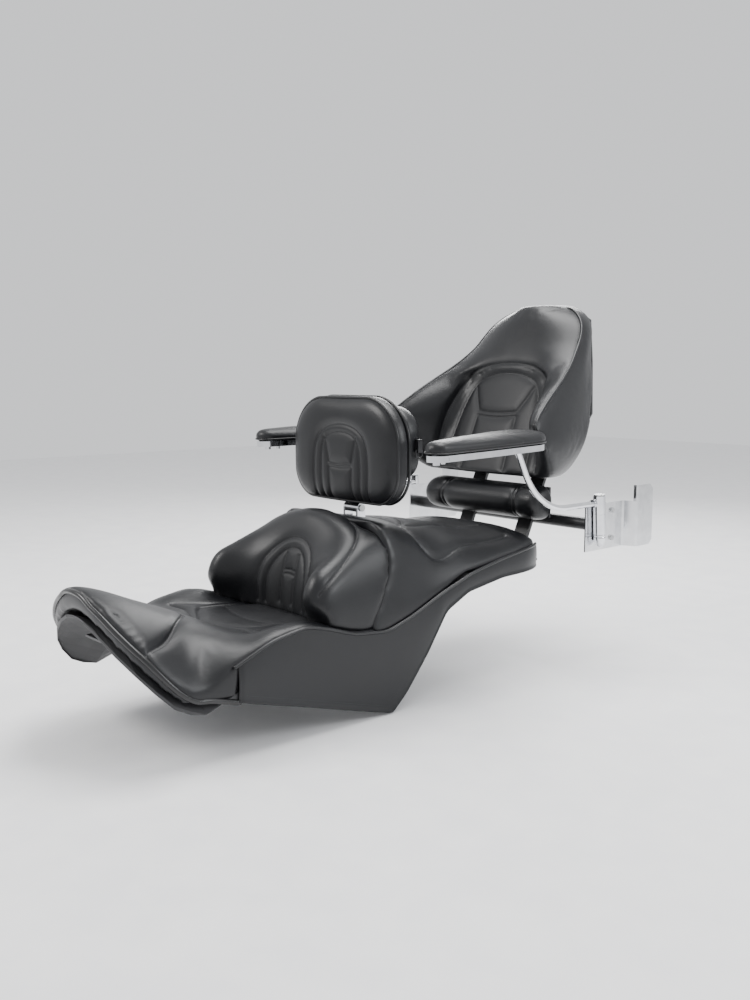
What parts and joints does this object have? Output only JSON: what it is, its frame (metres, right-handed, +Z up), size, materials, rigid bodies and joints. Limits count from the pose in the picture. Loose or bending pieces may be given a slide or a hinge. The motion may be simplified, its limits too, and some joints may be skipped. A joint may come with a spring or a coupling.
{
  "type": "motorcycle seat",
  "caption": "Two-up touring motorcycle seat with folding rider backrest, passenger backrest and roll, and swing-out padded armrests.",
  "frame": {"origin": "centre of the four frame studs, on the underside of the carrier's base plate", "axes": "+Z up, -Y towards the front of the motorcycle, +X towards the rider's left"},
  "size_m": [0.618, 1.3087, 0.815],
  "materials": {
    "cover_vinyl": "semi-matte grained vinyl",
    "foam": "open-cell moulded foam",
    "piping": "smooth extruded piping",
    "pan_plastic": "moulded, fine texture",
    "bumper_rubber": "moulded rubber",
    "black_steel": "satin black powder coat",
    "zinc_steel": "zinc-plated fastener",
    "chrome": "polished chrome",
    "polished_steel": "polished stainless sheet",
    "black_trim": "black webbing, tape and moulded knob"
  },
  "bodies": {
    "seat": {"seat_pan": "pan_plastic", "rider_foam": "foam", "rider_cover": "cover_vinyl", "nose_trim": "piping", "bolster_foam": "foam", "bolster_cover": "cover_vinyl", "passenger_foam": "foam", "passenger_cover": "cover_vinyl", "left_skirt": "cover_vinyl", "right_skirt": "cover_vinyl", "welt_piping": "piping", "pan_bumpers": "bumper_rubber", "front_tongue": "black_steel", "carrier_base": "black_steel", "carrier_studs": "zinc_steel", "carrier_uprights": "black_steel", "carrier_crossbar": "black_steel", "carrier_bolts": "zinc_steel", "roll_board": "pan_plastic", "roll_foam": "foam", "roll_cover": "cover_vinyl", "back_shell": "pan_plastic", "back_foam": "foam", "back_cover": "cover_vinyl", "back_piping": "piping", "post_socket": "chrome", "fold_pin": "zinc_steel", "left_arm_plate": "polished_steel", "left_pivot_barrel": "chrome", "left_bullet_cap": "chrome", "left_pivot_pin": "zinc_steel", "left_arm_screws": "zinc_steel", "right_arm_plate": "polished_steel", "right_pivot_barrel": "chrome", "right_bullet_cap": "chrome", "right_pivot_pin": "zinc_steel", "right_arm_screws": "zinc_steel"},
    "backrest_post": {"rest_post": "chrome"},
    "backrest_pad": {"post_sleeve": "zinc_steel", "rest_board": "pan_plastic", "rest_foam": "foam", "rest_cover": "cover_vinyl", "rest_piping": "piping", "rest_pouch": "cover_vinyl", "pouch_zip": "black_trim", "ring_tabs": "black_trim"},
    "knob": {"height_knob": "black_trim"},
    "slider": {"zip_slider": "zinc_steel"},
    "ring_left": {"left_ring": "black_trim"},
    "ring_right": {"right_ring": "black_trim"},
    "armrest_left": {"left_arm_collar": "chrome", "left_arm_tube": "chrome", "left_arm_rail": "chrome", "left_arm_pad": "cover_vinyl", "left_tip_cap": "chrome"},
    "armrest_right": {"right_arm_collar": "chrome", "right_arm_tube": "chrome", "right_arm_rail": "chrome", "right_arm_pad": "cover_vinyl", "right_tip_cap": "chrome"}
  },
  "joints": [
    {"name": "backrest_fold", "type": "hinge", "parent": "seat", "child": "backrest_post", "pos_m": [0, -0.268, 0.145], "axis": [1, 0, 0], "range_deg": [-8, 35]},
    {"name": "backrest_height", "type": "slide", "parent": "backrest_post", "child": "backrest_pad", "axis": [0, 0, 1], "range_m": [0, 0.06]},
    {"name": "knob_turn", "type": "hinge", "parent": "backrest_pad", "child": "knob", "pos_m": [0, -0.25, 0.186], "axis": [0, 1, 0], "range_deg": [0, 180]},
    {"name": "zip_run", "type": "slide", "parent": "backrest_pad", "child": "slider", "axis": [1, 0, 0], "range_m": [0, 0.165]},
    {"name": "left_ring_swing", "type": "hinge", "parent": "backrest_pad", "child": "ring_left", "pos_m": [0.151, -0.226, 0.27], "axis": [0, -1, 0], "range_deg": [0, 85]},
    {"name": "right_ring_swing", "type": "hinge", "parent": "backrest_pad", "child": "ring_right", "pos_m": [-0.151, -0.226, 0.27], "axis": [0, 1, 0], "range_deg": [0, 85]},
    {"name": "left_arm_swing", "type": "hinge", "parent": "seat", "child": "armrest_left", "pos_m": [0.293, 0.19, 0.042], "axis": [0, -0.061, 0.9981], "range_deg": [0, 80]},
    {"name": "right_arm_swing", "type": "hinge", "parent": "seat", "child": "armrest_right", "pos_m": [-0.293, 0.19, 0.042], "axis": [0, 0.061, -0.9981], "range_deg": [0, 80]}
  ]
}
